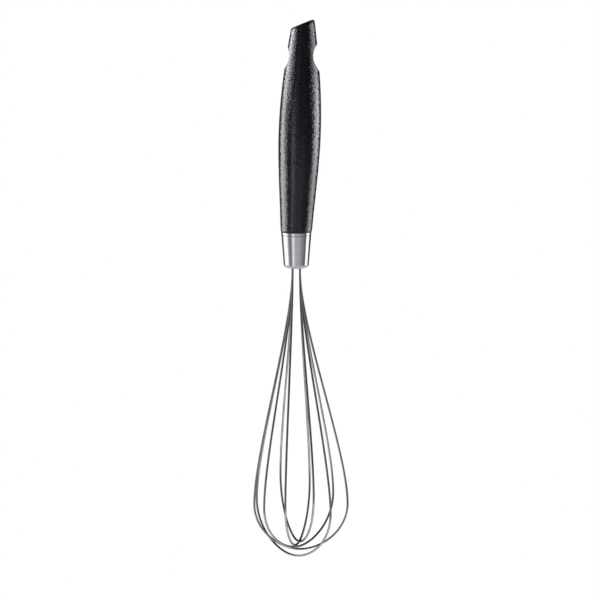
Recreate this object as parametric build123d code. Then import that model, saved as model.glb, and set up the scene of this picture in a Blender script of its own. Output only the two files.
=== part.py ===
from build123d import *
from math import cos, radians, sin, tan
import os

# A balloon whisk, in millimetres, hanging with its handle up along +Z.
# The origin is the centre of the hang hole, which runs through the handle along X.

# Handle
handle_bottom_z = -94.3
handle_lean_deg = 2.0          # the handle leans this far to +X against the ferrule
handle_axis_x = 0.7            # where the handle's own axis passes the hang hole
handle_tip_z = 17.75           # middle of the slanted top face
handle_tip_slope_deg = 22.3
tip_rounding = 1.2
end_rounding = 0.9

# Hang hole, with a round dish sunk into the handle at each mouth: the radius of each
# dish and where its centre is on the hole's axis
hang_hole_radius = 3.0
dishes = {
    "right": (7.1, 10.45),
    "left": (5.8, -9.9),
}
dish_rounding = 0.5

# Ferrule, on its own upright axis below the leaning handle
ferrule_x = handle_axis_x + handle_bottom_z * tan(radians(handle_lean_deg))
ferrule_length = 19.8
ferrule_top_radius = 8.35
ferrule_mouth_radius = 6.78
ferrule_wall = 0.8
ferrule_corner = 2.0
ferrule_opening_radius = 4.1
rim_height = 1.5
groove_size = 0.35
stem_radius = 6.0
stem_length = 15.0
socket_spare = 1.0             # how much deeper the handle's socket is than the stem is long
mouth_z = handle_bottom_z - ferrule_length

# Wire: each loop has two legs, and the legs stand in two columns in the ferrule
wire_diameter = 1.2
leg_half_gap = 2.05            # from the axis to either column
leg_pitch = 1.26               # from one leg to the next in a column
leg_top_z = mouth_z + 27.5
straight_below_mouth = 2.5
shoulder_pull = 31.0           # how long a leg keeps straight down before it spreads
belly_pull = 29.0              # how long it keeps straight down above the widest level
round_drop = 0.6               # share of the drop below the belly that stays steep
round_reach = 0.55             # share of the half width that stays flat at the bottom

# Name: angle of the loop's plane, half width, depth of the widest level and of the
# bottom below the mouth, sideways lean of the bottom, and the right leg's place in its
# column, from the middle (the left leg takes the mirrored place)
loops = {
    "wire_loop_1": (-36.0, 25.7, 136.0, 164.6, -1.8, -1),
    "wire_loop_2": (2.0, 26.2, 134.7, 161.0, 2.6, 0),
    "wire_loop_3": (39.5, 25.1, 132.4, 159.3, 1.6, 1),
    "wire_loop_4": (74.5, 25.4, 129.1, 157.7, 0.8, 2),
    "wire_loop_5": (-68.5, 25.5, 123.8, 155.8, 0.2, -2),
}

# Parts inside the ferrule
holder_height = 9.0
resin_height = 20.0
fit_gap = 0.05                 # between parts that sit in one another
wire_gap = 0.02                # round each leg
cutter_length = 60.0           # longer than anything that a cutter goes through here


def turned(points, x=0.0):
    """A solid of revolution about an upright axis at x, from (radius, height) points."""
    outline = Polyline(*[(r, 0, z) for r, z in points], close=True)
    return Pos(x, 0, 0) * revolve(make_face(outline), axis=Axis.Z)


def ferrule_radius(z):
    """Outside radius of the ferrule's taper at height z."""
    taper = (ferrule_top_radius - ferrule_mouth_radius) / ferrule_length
    return ferrule_mouth_radius + taper * (z - mouth_z)


def make_grip():
    """The turned body of the handle, standing on its own axis, longer than it is needed."""
    profile = [(8.3, -100.0), (10.0, -73.4), (11.45, -45.4), (9.8, -8.9), (6.85, 14.1), (4.0, 32.0)]
    side = Spline(*[(r, 0, z) for r, z in profile])
    low = profile[0]
    high = profile[-1]
    ends_and_axis = Polyline((high[0], 0, high[1]), (0, 0, high[1]), (0, 0, low[1]), (low[0], 0, low[1]))
    grip = revolve(make_face(side + ends_and_axis), axis=Axis.Z)
    seam_to_back = Rot(0, 0, 90)
    return seam_to_back * grip


def make_hang_hole():
    """The hang hole and the dishes at its two mouths, as the material they take away."""
    right_centre_x = dishes["right"][1]
    hole = Rot(0, 90, 0) * Cylinder(hang_hole_radius, 2 * right_centre_x)
    for radius, centre_x in dishes.values():
        hole += Pos(centre_x, 0, 0) * Sphere(radius)
    return hole


def is_dish_rim(edge):
    """True for an edge where a dish meets the outside of the handle."""
    middle = edge @ 0.5
    radius, centre_x = dishes["right" if middle.X > 0 else "left"]
    from_centre = (middle - Vector(centre_x, 0, 0)).length
    from_hole_axis = Vector(0, middle.Y, middle.Z).length
    return abs(from_centre - radius) < 0.01 and from_hole_axis > hang_hole_radius + 1.0


def make_handle():
    """Leaning grip with a slanted top, a dished hang hole and a socket for the stem."""
    grip = Pos(handle_axis_x, 0, 0) * Rot(0, handle_lean_deg, 0) * make_grip()
    upward = (Align.CENTER, Align.CENTER, Align.MIN)
    block = Box(cutter_length, cutter_length, cutter_length, align=upward)
    grip -= Pos(0, 0, handle_bottom_z) * Rot(180, 0, 0) * block
    grip -= Pos(0, 0, handle_tip_z) * Rot(0, -handle_tip_slope_deg, 0) * block
    tip_edge = grip.edges().group_by(Axis.Z)[-1]
    grip = fillet(tip_edge, tip_rounding)
    end_edge = grip.edges().group_by(Axis.Z)[0]
    grip = fillet(end_edge, end_rounding)
    grip -= make_hang_hole()
    grip = fillet(grip.edges().filter_by(is_dish_rim), dish_rounding)
    socket_top = handle_bottom_z + stem_length + socket_spare
    socket_radius = stem_radius + fit_gap
    socket = turned([
        (0, handle_bottom_z),
        (socket_radius, handle_bottom_z),
        (socket_radius, socket_top),
        (0, socket_top),
    ], ferrule_x)
    return grip - socket


def make_ferrule_cavity(gap, top_z):
    """The inside of the ferrule below the stem, drawn in by a gap."""
    low_z = mouth_z + ferrule_wall + gap
    cavity = turned([
        (0, low_z),
        (ferrule_radius(low_z) - ferrule_wall - gap, low_z),
        (ferrule_radius(top_z) - ferrule_wall - gap, top_z),
        (0, top_z),
    ], ferrule_x)
    rim = cavity.edges().group_by(Axis.Z)[0]
    return fillet(rim, ferrule_corner - ferrule_wall)


def make_ferrule():
    """Tapered steel shell with a grooved rim, a rounded mouth and a stem for the handle."""
    top = handle_bottom_z
    groove_z = top - rim_height
    shell = turned([
        (0, mouth_z),
        (ferrule_radius(mouth_z), mouth_z),
        (ferrule_radius(groove_z - groove_size), groove_z - groove_size),
        (ferrule_radius(groove_z) - groove_size, groove_z - groove_size / 2),
        (ferrule_radius(groove_z), groove_z),
        (ferrule_radius(top), top),
        (stem_radius, top),
        (stem_radius, top + stem_length),
        (0, top + stem_length),
    ], ferrule_x)
    mouth_edge = shell.edges().group_by(Axis.Z)[0]
    shell = fillet(mouth_edge, ferrule_corner)
    shell -= make_ferrule_cavity(0.0, top - ferrule_wall)
    opening = Cylinder(ferrule_opening_radius, ferrule_length)
    shell -= Pos(ferrule_x, 0, mouth_z) * opening
    bore_length = 2 * (stem_length + ferrule_wall)
    bore = Cylinder(stem_radius - ferrule_wall, bore_length)
    return shell - Pos(ferrule_x, 0, top + stem_length) * bore


def leg_places():
    """The (x, y) of all ten wire legs where they stand in the ferrule."""
    places = []
    for _, _, _, _, _, row in loops.values():
        places.append((ferrule_x + leg_half_gap, row * leg_pitch))
        places.append((ferrule_x - leg_half_gap, -row * leg_pitch))
    return places


def leg_holes():
    """Ten long rods, a little thicker than the wire, that clear a way for the legs."""
    rod = Cylinder(wire_diameter / 2 + wire_gap, cutter_length)
    middle_z = leg_top_z + wire_gap - cutter_length / 2
    return [Pos(x, y, middle_z) * rod for x, y in leg_places()]


def make_wire_holder():
    """Moulded insert that spaces the legs in the ferrule's mouth."""
    holder = make_ferrule_cavity(fit_gap, mouth_z + holder_height)
    return holder - leg_holes()


def make_potting_resin():
    """Resin cast round the legs above the holder, up into the stem."""
    low = mouth_z + holder_height + fit_gap
    seat = handle_bottom_z - ferrule_wall - fit_gap
    high = low + resin_height
    inside = ferrule_wall + fit_gap
    plug = turned([
        (0, low),
        (ferrule_radius(low) - inside, low),
        (ferrule_radius(seat) - inside, seat),
        (stem_radius - inside, seat),
        (stem_radius - inside, high),
        (0, high),
    ], ferrule_x)
    return plug - leg_holes()


def make_wire_loop(angle_deg, half_width, belly_depth, bottom_depth, lean, row):
    """One length of wire bent into a loop, with both of its legs."""
    belly_z = mouth_z - belly_depth
    bottom_z = mouth_z - bottom_depth
    bottom = Vector(ferrule_x + lean, 0, bottom_z)
    outward = Vector(cos(radians(angle_deg)), sin(radians(angle_deg)), 0)
    pieces = []
    for side in (1, -1):
        leg = Vector(ferrule_x + side * leg_half_gap, side * row * leg_pitch, 0)
        top = leg + Vector(0, 0, leg_top_z)
        bend = leg + Vector(0, 0, mouth_z - straight_below_mouth)
        reach = outward * (side * half_width)
        belly = Vector(bottom.X, bottom.Y, belly_z) + reach
        half = [
            Line(top, bend),
            Bezier(bend, bend - Vector(0, 0, shoulder_pull), belly + Vector(0, 0, belly_pull), belly),
            Bezier(
                belly,
                belly - Vector(0, 0, round_drop * (belly_z - bottom_z)),
                bottom + reach * (1 - round_reach),
                bottom,
            ),
        ]
        pieces.extend(half)
    path = Wire(pieces)
    start = Vector(ferrule_x + leg_half_gap, row * leg_pitch, leg_top_z)
    section = Plane(origin=start, z_dir=(0, 0, -1)) * Circle(wire_diameter / 2)
    return sweep(section, path=path)


parts = {
    "handle": make_handle(),
    "ferrule": make_ferrule(),
    "wire_holder": make_wire_holder(),
    "potting_resin": make_potting_resin(),
}
for name, shape_values in loops.items():
    parts[name] = make_wire_loop(*shape_values)

os.makedirs("parts", exist_ok=True)
for name, solid in parts.items():
    export_step(solid, f"parts/{name}.step")
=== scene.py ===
import math

import bmesh
import bpy
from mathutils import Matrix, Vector, noise as solid_noise


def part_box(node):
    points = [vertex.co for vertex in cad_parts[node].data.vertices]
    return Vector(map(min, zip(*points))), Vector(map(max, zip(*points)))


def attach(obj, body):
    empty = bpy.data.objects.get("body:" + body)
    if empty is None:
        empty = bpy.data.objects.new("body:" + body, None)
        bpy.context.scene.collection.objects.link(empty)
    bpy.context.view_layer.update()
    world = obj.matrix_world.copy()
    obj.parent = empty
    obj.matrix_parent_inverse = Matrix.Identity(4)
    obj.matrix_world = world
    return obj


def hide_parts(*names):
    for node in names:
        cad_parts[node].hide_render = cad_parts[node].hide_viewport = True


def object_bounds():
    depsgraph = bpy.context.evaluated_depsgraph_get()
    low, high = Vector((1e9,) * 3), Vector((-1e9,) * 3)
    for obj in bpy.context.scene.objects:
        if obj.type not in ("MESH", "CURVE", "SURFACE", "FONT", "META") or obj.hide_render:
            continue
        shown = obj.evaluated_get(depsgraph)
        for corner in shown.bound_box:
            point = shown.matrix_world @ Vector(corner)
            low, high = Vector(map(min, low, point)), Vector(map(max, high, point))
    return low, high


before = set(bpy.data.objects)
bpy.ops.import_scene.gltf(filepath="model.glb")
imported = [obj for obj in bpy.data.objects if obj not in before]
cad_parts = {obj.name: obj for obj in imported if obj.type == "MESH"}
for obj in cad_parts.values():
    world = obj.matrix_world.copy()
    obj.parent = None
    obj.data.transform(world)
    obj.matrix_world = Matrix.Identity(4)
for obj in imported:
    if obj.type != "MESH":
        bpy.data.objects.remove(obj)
cad_low, cad_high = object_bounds()

# A balloon whisk hanging with its handle up along +Z, in metres, in the CAD frame.

MM = 0.001

# Places taken from the frame
ferrule_low, ferrule_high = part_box("ferrule")
ferrule_x = (ferrule_low.x + ferrule_high.x) / 2
mouth_z = ferrule_low.z
leg_top_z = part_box("wire_loop_1")[1].z

# Floor
floor_z = cad_low.z - 1.0
floor_radius = 3.0
floor_sides = 96
floor_in_metal = 0.65          # how bright the floor is where the whisk mirrors it

# The handle's moulded grain, pressed into its surface
handle_mesh_step = 0.335 * MM
pebble_size = 1.1 * MM
crease_depth = 0.05 * MM
crease_width = 0.45            # share of a pebble
pit_size = 0.55 * MM
pit_depth = 0.06 * MM

# Wire, with the CAD's driving sizes
wire_radius = 0.597 * MM       # a hair thinner than the CAD's, so it stays inside its box
leg_half_gap = 2.05 * MM
leg_pitch = 1.26 * MM
straight_below_mouth = 2.5 * MM
shoulder_pull = 31.0 * MM
belly_pull = 29.0 * MM
round_drop = 0.6
round_reach = 0.55

# How finely a wire is drawn: round it, and down its leg, its long curve and its bottom
wire_sides = 20
leg_steps = 12
curve_steps = 90
bottom_steps = 60

# Name: angle of the loop's plane in degrees, half width, depth of the widest level and
# of the bottom below the mouth and sideways lean in millimetres, place in the column
loops = {
    "wire_loop_1": (-36.0, 25.7, 136.0, 164.6, -1.8, -1),
    "wire_loop_2": (2.0, 26.2, 134.7, 161.0, 2.6, 0),
    "wire_loop_3": (39.5, 25.1, 132.4, 159.3, 1.6, 1),
    "wire_loop_4": (74.5, 25.4, 129.1, 157.7, 0.8, 2),
    "wire_loop_5": (-68.5, 25.5, 123.8, 155.8, 0.2, -2),
}

# Soft boxes that only light the handle, all at one distance from the whisk's middle:
# the two bearings in degrees and the two heights that each spans, and its brightness
handle_light_distance = 0.4
handle_lights = {
    "softbox_left": (-120, -90, -0.10, 0.14, 7.6),
    "softbox_middle_left": (-121, -76, -0.15, -0.10, 7.4),
    "softbox_low_left": (-122, -76, -0.26, -0.15, 6.0),
    "softbox_head_left": (-130, -56, 0.02, 0.14, 5.5),
    "softbox_front": (-42, -31, -0.10, 0.0, 3.0),
    "softbox_low_front": (-40, -26, -0.26, -0.10, 1.9),
    "softbox_low": (-14, 34, -0.36, -0.13, 0.4),
    "softbox_right": (83, 124, -0.10, -0.005, 7.9),
    "softbox_middle_right": (84, 126, -0.15, -0.10, 4.8),
    "softbox_low_right": (84, 126, -0.30, -0.15, 3.6),
    "softbox_head_right": (62, 118, 0.0, 0.14, 4.0),
}
handle_light_colour = (1.0, 0.998, 1.008)

# A wide square soft box just above the floor that only lights the wires
under_light_height = 0.05
under_light_size = 4.0
under_light_radiance = 1.3

# Studio light round the whisk: degrees from the camera, positive to its right, and how
# bright the surroundings are there. Two tall strip lights stand on its sides.
strip_bands = [
    (-180, 0.0), (-124, 0.0), (-118, 1.5), (-80, 1.4), (-64, 0.0), (84, 0.0), (90, 1.6),
    (118, 1.6), (124, 0.0), (180, 0.0),
]
# The rest of the room, as bright as it is where the view falls to the floor in front.
room_bands = [
    (-180, 0.2), (-118, 0.2), (-64, 0.3), (-38, 0.27), (-32, 1.2), (-18, 1.15), (-12, 0.62),
    (34, 0.5), (44, 0.34), (60, 0.31), (72, 0.15), (118, 0.12), (180, 0.12),
]
room_low = -0.32               # height on the sky, as a sine, below which the room is full
room_high = 0.08               # and above which it is at its dimmest
room_dimmest = 0.4
overhead_low = 0.5             # the bands change above this height on the sky
overhead_share = 0.05          # and come to this share straight up and straight down

# Camera: in front of the whisk's middle, looking along +Y and a little down
camera_distance = 1.0
camera_elevation = math.radians(10.4)
camera_target = Vector((-0.55 * MM, 0.0, -132.3 * MM))
view_width = 330 * MM          # what the frame spans at the whisk's distance


# ---------------------------------------------------------------- materials
# Texture scales are features per metre, or per millimetre where UVs are used.

def new_material(name):
    """An empty node material, its node tree and its Principled shader."""
    material = bpy.data.materials.new(name)
    material.use_nodes = True
    tree = material.node_tree
    return material, tree, tree.nodes["Principled BSDF"]


def add_node(tree, kind, **settings):
    """A node of that kind, with its inputs or properties set by name."""
    node = tree.nodes.new(kind)
    for key, value in settings.items():
        label = key.replace("_", " ").title()
        if label in node.inputs:
            node.inputs[label].default_value = value
        else:
            setattr(node, key, value)
    return node


def stretched_coordinates(tree, scale, source="Object"):
    """Object or UV coordinates, scaled along each axis."""
    where = add_node(tree, "ShaderNodeTexCoord")
    mapping = add_node(tree, "ShaderNodeMapping")
    mapping.inputs["Scale"].default_value = scale
    tree.links.new(where.outputs[source], mapping.inputs["Vector"])
    return mapping.outputs["Vector"]


def noise(tree, coordinates, scale, detail=2.0, roughness=0.5):
    """A noise texture's value output."""
    texture = add_node(tree, "ShaderNodeTexNoise", scale=scale, detail=detail, roughness=roughness)
    tree.links.new(coordinates, texture.inputs["Vector"])
    return texture.outputs["Fac"]


def spread(tree, value, low, high, from_low=0.3, from_high=0.7):
    """The value moved from one range to another."""
    node = add_node(tree, "ShaderNodeMapRange")
    node.inputs["From Min"].default_value = from_low
    node.inputs["From Max"].default_value = from_high
    node.inputs["To Min"].default_value = low
    node.inputs["To Max"].default_value = high
    tree.links.new(value, node.inputs["Value"])
    return node.outputs["Result"]


def two_colours(tree, value, first, second):
    """A colour that goes from first to second with the value."""
    node = add_node(tree, "ShaderNodeMix", data_type="RGBA")
    node.inputs[6].default_value = (*first, 1)
    node.inputs[7].default_value = (*second, 1)
    tree.links.new(value, node.inputs[0])
    return node.outputs[2]


def bump(tree, height, distance, strength=1.0, before=None):
    """A bump normal from a height between 0 and 1, over an earlier normal if there is one."""
    node = add_node(tree, "ShaderNodeBump")
    node.inputs["Distance"].default_value = distance
    node.inputs["Strength"].default_value = strength
    tree.links.new(height, node.inputs["Height"])
    if before is not None:
        tree.links.new(before, node.inputs["Normal"])
    return node.outputs["Normal"]


def tipped_normal(tree, coordinates, scale, amount):
    """The surface normal, tipped a little this way and that by a noise."""
    texture = add_node(tree, "ShaderNodeTexNoise", scale=scale, detail=0.0)
    tree.links.new(coordinates, texture.inputs["Vector"])
    centred = add_node(tree, "ShaderNodeVectorMath", operation="SUBTRACT")
    centred.inputs[1].default_value = (0.5, 0.5, 0.5)
    tree.links.new(texture.outputs["Color"], centred.inputs[0])
    tipped = add_node(tree, "ShaderNodeVectorMath", operation="MULTIPLY_ADD")
    tipped.inputs[1].default_value = (amount, amount, amount)
    tree.links.new(centred.outputs[0], tipped.inputs[0])
    tree.links.new(add_node(tree, "ShaderNodeNewGeometry").outputs["Normal"], tipped.inputs[2])
    unit = add_node(tree, "ShaderNodeVectorMath", operation="NORMALIZE")
    tree.links.new(tipped.outputs[0], unit.inputs[0])
    return unit.outputs[0]


def make_handle_plastic():
    """Black satin plastic with a moulded leather grain, painted shade in the creases between pebbles,
    and faint handling wear.
    """
    material, tree, shader = new_material("handle_plastic_grained")
    place = stretched_coordinates(tree, (1, 1, 1))
    warp = add_node(tree, "ShaderNodeTexNoise", scale=500.0, detail=1.0)
    tree.links.new(place, warp.inputs["Vector"])
    shift = add_node(tree, "ShaderNodeVectorMath", operation="SCALE")
    shift.inputs["Scale"].default_value = 0.6 * MM
    tree.links.new(warp.outputs["Color"], shift.inputs[0])
    warped = add_node(tree, "ShaderNodeVectorMath", operation="ADD")
    tree.links.new(place, warped.inputs[0])
    tree.links.new(shift.outputs[0], warped.inputs[1])
    cells = add_node(tree, "ShaderNodeTexVoronoi", scale=780.0, feature="DISTANCE_TO_EDGE")
    tree.links.new(warped.outputs[0], cells.inputs["Vector"])
    pebbles = spread(tree, cells.outputs["Distance"], 0.0, 1.0, 0.0, 0.35)
    grain = noise(tree, place, 1300, detail=1.0, roughness=0.6)
    waves = noise(tree, place, 330, detail=2.0)
    normal = tipped_normal(tree, place, 1150, 0.3)
    normal = bump(tree, waves, 0.03 * MM, 0.6, normal)
    normal = bump(tree, pebbles, 0.02 * MM, 1.0, normal)
    normal = bump(tree, grain, 0.02 * MM, 1.0, normal)
    tree.links.new(normal, shader.inputs["Normal"])
    wear = noise(tree, place, 90, detail=4.0)
    tree.links.new(spread(tree, wear, 0.16, 0.24), shader.inputs["Roughness"])
    # Base colour: the plastic's faint blue-black, a little darker in the creases between pebbles, which
    # is painted shade.
    colour = two_colours(tree, pebbles, (0.0008, 0.0005, 0.0026), (0.0016, 0.0012, 0.0042))
    tree.links.new(colour, shader.inputs["Base Color"])
    shader.inputs["Specular IOR Level"].default_value = 0.36
    shader.inputs["Specular Tint"].default_value = (0.95, 0.94, 1.0, 1)
    return material


def make_ferrule_steel():
    """Stainless steel with fine turning lines round the axis."""
    material, tree, shader = new_material("ferrule_steel_turned")
    place = stretched_coordinates(tree, (30, 30, 2600))
    lines = noise(tree, place, 1.0, detail=3.0, roughness=0.6)
    smudges = noise(tree, stretched_coordinates(tree, (1, 1, 1)), 260, detail=3.0)
    tree.links.new(bump(tree, lines, 0.004 * MM, 0.5), shader.inputs["Normal"])
    tree.links.new(spread(tree, smudges, 0.10, 0.17), shader.inputs["Roughness"])
    colour = two_colours(tree, spread(tree, lines, 0.0, 1.0), (0.58, 0.58, 0.60), (0.66, 0.66, 0.675))
    tree.links.new(colour, shader.inputs["Base Color"])
    shader.inputs["Metallic"].default_value = 1.0
    return material


def make_wire_steel():
    """Polished spring wire with faint drawing lines along its length, its colour darkened as painted
    shade for the dark room it mirrors.
    """
    material, tree, shader = new_material("wire_steel_painted_dark")
    place = stretched_coordinates(tree, (12, 0.15, 1), "UV")
    lines = noise(tree, place, 1.0, detail=3.0, roughness=0.6)
    patches = noise(tree, stretched_coordinates(tree, (1, 1, 1)), 120, detail=2.0)
    tree.links.new(bump(tree, lines, 0.004 * MM, 0.5), shader.inputs["Normal"])
    tree.links.new(spread(tree, patches, 0.08, 0.16), shader.inputs["Roughness"])
    # The steel's colour is kept dark: painted shade standing in for the dark room the wires mirror. The
    # patches only vary its tone at random.
    colour = two_colours(tree, spread(tree, patches, 0.0, 1.0), (0.17, 0.17, 0.175), (0.25, 0.25, 0.256))
    tree.links.new(colour, shader.inputs["Base Color"])
    shader.inputs["Metallic"].default_value = 1.0
    # A dark edge tint damps the grazing reflection, more painted shade.
    shader.inputs["Specular Tint"].default_value = (0.4, 0.4, 0.4, 1)
    return material


def make_holder_plastic():
    """Dark grey moulded plastic."""
    material, tree, shader = new_material("holder_plastic_moulded")
    grain = noise(tree, stretched_coordinates(tree, (1, 1, 1)), 1200, detail=3.0)
    tree.links.new(bump(tree, grain, 0.03 * MM, 0.6), shader.inputs["Normal"])
    colour = two_colours(tree, grain, (0.02, 0.02, 0.022), (0.04, 0.04, 0.043))
    tree.links.new(colour, shader.inputs["Base Color"])
    shader.inputs["Roughness"].default_value = 0.5
    return material


def make_resin():
    """Cloudy cast resin."""
    material, tree, shader = new_material("resin_cast")
    clouds = noise(tree, stretched_coordinates(tree, (1, 1, 1)), 300, detail=4.0)
    colour = two_colours(tree, clouds, (0.26, 0.22, 0.14), (0.44, 0.39, 0.28))
    tree.links.new(colour, shader.inputs["Base Color"])
    tree.links.new(bump(tree, clouds, 0.05 * MM, 0.4), shader.inputs["Normal"])
    shader.inputs["Roughness"].default_value = 0.25
    return material


def wear_material(obj, material):
    """obj shows only this material."""
    obj.data.materials.clear()
    obj.data.materials.append(material)


# ------------------------------------------------------------------- pieces

def bezier(p0, p1, p2, p3, steps):
    """Points along a cubic curve, without its last point."""
    points = []
    for i in range(steps):
        t = i / steps
        u = 1 - t
        points.append(p0 * u**3 + p1 * 3 * u * u * t + p2 * 3 * u * t * t + p3 * t**3)
    return points


def loop_half(angle_deg, half_width, belly_depth, bottom_depth, lean, row, side):
    """Points down one leg of a loop, from its top to just before the bottom, and the bottom."""
    angle = math.radians(angle_deg)
    outward = Vector((math.cos(angle), math.sin(angle), 0)) * (side * half_width * MM)
    leg = Vector((ferrule_x + side * leg_half_gap, side * row * leg_pitch, 0))
    top = leg + Vector((0, 0, leg_top_z))
    bend = leg + Vector((0, 0, mouth_z - straight_below_mouth))
    bottom = Vector((ferrule_x + lean * MM, 0, mouth_z - bottom_depth * MM))
    belly = Vector((bottom.x, bottom.y, mouth_z - belly_depth * MM)) + outward
    drop = Vector((0, 0, round_drop * (belly.z - bottom.z)))
    down = Vector((0, 0, 1))
    points = [top.lerp(bend, i / leg_steps) for i in range(leg_steps)]
    points += bezier(bend, bend - down * shoulder_pull, belly + down * belly_pull, belly, curve_steps)
    points += bezier(belly, belly - drop, bottom + outward * (1 - round_reach), bottom, bottom_steps)
    return points, bottom


def tube(name, points, radius, sides):
    """A closed round tube along the points, with UVs in millimetres: round, then along."""
    mesh = bmesh.new()
    uv_layer = mesh.loops.layers.uv.new("UVMap")
    rings = []
    across = Vector((0, 1, 0))
    travelled = [0.0]
    for i, point in enumerate(points):
        before = points[max(i - 1, 0)]
        after = points[min(i + 1, len(points) - 1)]
        along = (after - before).normalized()
        across = (across - along * across.dot(along)).normalized()
        third = along.cross(across)
        ring = []
        for k in range(sides):
            turn = 2 * math.pi * k / sides
            spoke = across * math.cos(turn) + third * math.sin(turn)
            ring.append(mesh.verts.new(point + spoke * radius))
        rings.append(ring)
        if i:
            travelled.append(travelled[-1] + (point - before).length / MM)
    girth = 2 * math.pi * radius / MM
    for i in range(len(rings) - 1):
        for k in range(sides):
            following = (k + 1) % sides
            corners = (rings[i][k], rings[i][following], rings[i + 1][following], rings[i + 1][k])
            face = mesh.faces.new(corners)
            face.smooth = True
            places = ((k, i), (k + 1, i), (k + 1, i + 1), (k, i + 1))
            for corner, (step, station) in zip(face.loops, places):
                corner[uv_layer].uv = (girth * step / sides, travelled[station])
    mesh.faces.new(reversed(rings[0]))
    mesh.faces.new(rings[-1])
    bmesh.ops.recalc_face_normals(mesh, faces=mesh.faces)
    data = bpy.data.meshes.new(name)
    mesh.to_mesh(data)
    mesh.free()
    obj = bpy.data.objects.new(name, data)
    bpy.context.scene.collection.objects.link(obj)
    return obj


def make_wire_loop(name, values):
    """One smooth wire loop in place of the CAD's."""
    right, bottom = loop_half(*values, side=1)
    left, _ = loop_half(*values, side=-1)
    obj = tube(name + "_wire", right + [bottom] + left[::-1], wire_radius, wire_sides)
    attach(obj, "root")
    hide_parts(name)
    return obj


def grain_depth_at(place):
    """How far the grain goes into the surface at a place: creases between pebbles, and pits."""
    distances, _ = solid_noise.voronoi(place / pebble_size)
    to_crease = min((distances[1] - distances[0]) / crease_width, 1.0)
    crease = (1 - to_crease) ** 2 * (1 + 2 * to_crease)
    pit = 0.5 - 0.5 * solid_noise.noise(place / pit_size)
    return crease * crease_depth + pit * pit_depth


def make_grained_handle():
    """The CAD handle with a fine even mesh and its grain pressed in."""
    rough = bpy.data.objects.new("rough_handle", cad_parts["handle"].data.copy())
    bpy.context.scene.collection.objects.link(rough)
    remesh = rough.modifiers.new("even_mesh", "REMESH")
    remesh.mode = "VOXEL"
    remesh.voxel_size = handle_mesh_step
    remesh.use_smooth_shade = True
    evaluated = rough.evaluated_get(bpy.context.evaluated_depsgraph_get())
    data = bpy.data.meshes.new_from_object(evaluated)
    data.name = "handle_grip"
    bpy.data.objects.remove(rough)
    inward = [-vertex.normal for vertex in data.vertices]
    for vertex, direction in zip(data.vertices, inward):
        vertex.co += direction * grain_depth_at(vertex.co)
    obj = bpy.data.objects.new("handle_grip", data)
    bpy.context.scene.collection.objects.link(obj)
    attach(obj, "root")
    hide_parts("handle")
    return obj


# -------------------------------------------------------------------- stage

def make_floor():
    """A plain white floor, evenly lit, well below the hanging whisk."""
    mesh = bmesh.new()
    bmesh.ops.create_circle(mesh, cap_ends=True, segments=floor_sides, radius=floor_radius)
    data = bpy.data.meshes.new("floor")
    mesh.to_mesh(data)
    mesh.free()
    floor = bpy.data.objects.new("floor", data)
    floor.location = (0, 0, floor_z)
    bpy.context.scene.collection.objects.link(floor)
    material, tree, _ = new_material("floor_white")
    glow = add_node(tree, "ShaderNodeEmission")
    dim = add_node(tree, "ShaderNodeEmission", strength=floor_in_metal)
    path = add_node(tree, "ShaderNodeLightPath")
    choice = add_node(tree, "ShaderNodeMixShader")
    tree.links.new(path.outputs["Is Camera Ray"], choice.inputs[0])
    tree.links.new(dim.outputs[0], choice.inputs[1])
    tree.links.new(glow.outputs[0], choice.inputs[2])
    tree.links.new(choice.outputs[0], tree.nodes["Material Output"].inputs[0])
    wear_material(floor, material)


def banded_light(tree, bearing, bands, tint):
    """A colour that follows the bands with the bearing, and the factor that it is scaled by."""
    brightest = max(level for _, level in bands)
    ramp = add_node(tree, "ShaderNodeValToRGB")
    steps = ramp.color_ramp.elements
    while len(steps) < len(bands):
        steps.new(0.5)
    for step, (degrees, level) in zip(steps, bands):
        step.position = (degrees + 180) / 360
        share = level / brightest
        step.color = (share * tint[0], share * tint[1], share * tint[2], 1)
    tree.links.new(bearing, ramp.inputs[0])
    return ramp.outputs[0], brightest


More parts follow.
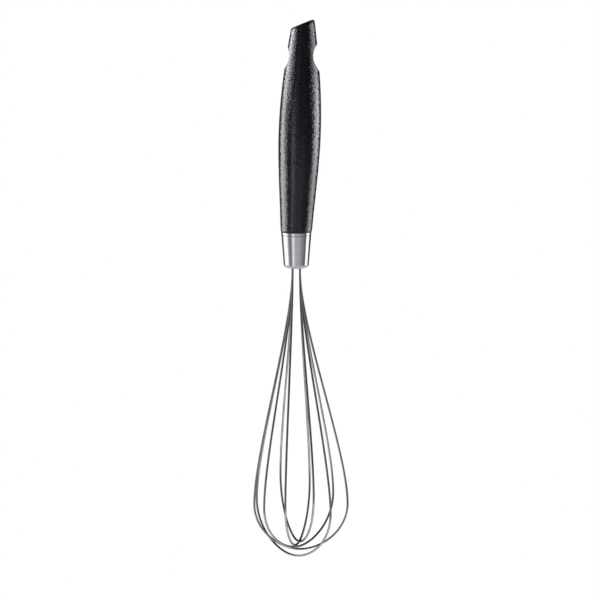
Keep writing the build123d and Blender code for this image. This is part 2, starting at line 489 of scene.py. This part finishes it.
def make_world():
    """Bands of light round the whisk, white where the camera looks past it."""
    world = bpy.data.worlds.new("studio")
    bpy.context.scene.world = world
    world.use_nodes = True
    tree = world.node_tree
    tree.nodes.clear()
    where = add_node(tree, "ShaderNodeTexCoord")
    split = add_node(tree, "ShaderNodeSeparateXYZ")
    tree.links.new(where.outputs["Generated"], split.inputs[0])
    toward_camera = add_node(tree, "ShaderNodeMath", operation="MULTIPLY")
    toward_camera.inputs[1].default_value = -1
    tree.links.new(split.outputs["Y"], toward_camera.inputs[0])
    angle = add_node(tree, "ShaderNodeMath", operation="ARCTAN2")
    tree.links.new(split.outputs["X"], angle.inputs[0])
    tree.links.new(toward_camera.outputs[0], angle.inputs[1])
    bearing = spread(tree, angle.outputs[0], 0, 1, -math.pi, math.pi)
    height = add_node(tree, "ShaderNodeMath", operation="ABSOLUTE")
    tree.links.new(split.outputs["Z"], height.inputs[0])
    fade = spread(tree, height.outputs[0], 1, overhead_share, overhead_low, 1)
    room_fade = spread(tree, split.outputs["Z"], 1, room_dimmest, room_low, room_high)

    lights = add_node(tree, "ShaderNodeAddShader")
    tint = (1.0, 0.985, 1.02)
    for place, (bands, extra) in enumerate(((strip_bands, None), (room_bands, room_fade))):
        colour, brightest = banded_light(tree, bearing, bands, tint)
        strength = add_node(tree, "ShaderNodeMath", operation="MULTIPLY")
        strength.inputs[1].default_value = brightest
        tree.links.new(fade, strength.inputs[0])
        background = add_node(tree, "ShaderNodeBackground")
        tree.links.new(colour, background.inputs["Color"])
        if extra is None:
            tree.links.new(strength.outputs[0], background.inputs["Strength"])
        else:
            dimmed = add_node(tree, "ShaderNodeMath", operation="MULTIPLY")
            tree.links.new(strength.outputs[0], dimmed.inputs[0])
            tree.links.new(extra, dimmed.inputs[1])
            tree.links.new(dimmed.outputs[0], background.inputs["Strength"])
        tree.links.new(background.outputs[0], lights.inputs[place])
    white = add_node(tree, "ShaderNodeBackground", strength=1.0)
    white.inputs["Color"].default_value = (1, 1, 1, 1)
    path = add_node(tree, "ShaderNodeLightPath")
    choice = add_node(tree, "ShaderNodeMixShader")
    tree.links.new(path.outputs["Is Camera Ray"], choice.inputs[0])
    tree.links.new(lights.outputs[0], choice.inputs[1])
    tree.links.new(white.outputs[0], choice.inputs[2])
    out = add_node(tree, "ShaderNodeOutputWorld")
    tree.links.new(choice.outputs[0], out.inputs["Surface"])


def make_handle_light(name, from_deg, to_deg, low_z, high_z, radiance, lit):
    """A soft box beside the handle, for the dark plastic only."""
    middle = math.radians((from_deg + to_deg) / 2)
    data = bpy.data.lights.new(name, "AREA")
    data.shape = "RECTANGLE"
    data.size = 2 * handle_light_distance * math.tan(math.radians((to_deg - from_deg) / 2))
    data.size_y = high_z - low_z
    data.energy = radiance * math.pi * data.size * data.size_y
    data.color = handle_light_colour
    light = bpy.data.objects.new(name, data)
    outward = Vector((math.sin(middle), -math.cos(middle), 0))
    light.location = outward * handle_light_distance + Vector((0, 0, (low_z + high_z) / 2))
    light.rotation_euler = (math.pi / 2, 0, middle)
    light.visible_camera = False
    light.light_linking.receiver_collection = lit
    bpy.context.scene.collection.objects.link(light)


def make_under_light(lit):
    """A wide soft box facing up from the floor, for the wires only."""
    data = bpy.data.lights.new("softbox_under", "AREA")
    data.size = under_light_size
    data.energy = under_light_radiance * math.pi * under_light_size**2
    light = bpy.data.objects.new("softbox_under", data)
    light.location = (0, 0, floor_z + under_light_height)
    light.rotation_euler = (math.pi, 0, 0)
    light.visible_camera = False
    light.light_linking.receiver_collection = lit
    bpy.context.scene.collection.objects.link(light)


def make_camera():
    """The camera, which looks along +Y and a little down at the whisk."""
    data = bpy.data.cameras.new("camera")
    data.sensor_width = 36.0
    data.lens = data.sensor_width * camera_distance / view_width
    camera = bpy.data.objects.new("camera", data)
    back = Vector((0, -math.cos(camera_elevation), math.sin(camera_elevation)))
    camera.location = camera_target + back * camera_distance
    camera.rotation_euler = (math.pi / 2 - camera_elevation, 0, 0)
    bpy.context.scene.collection.objects.link(camera)
    bpy.context.scene.camera = camera


wire_steel = make_wire_steel()
wires_only = bpy.data.collections.new("wires_only")
for name, values in loops.items():
    wire = make_wire_loop(name, values)
    wear_material(wire, wire_steel)
    wires_only.objects.link(wire)

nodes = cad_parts
handle = make_grained_handle()
wear_material(handle, make_handle_plastic())
wear_material(nodes["ferrule"], make_ferrule_steel())
wear_material(nodes["wire_holder"], make_holder_plastic())
wear_material(nodes["potting_resin"], make_resin())

make_floor()
make_world()
handle_only = bpy.data.collections.new("handle_only")
handle_only.objects.link(handle)
for name, spans in handle_lights.items():
    make_handle_light(name, *spans, lit=handle_only)
make_under_light(wires_only)
make_camera()
bpy.context.scene.view_settings.view_transform = "Standard"
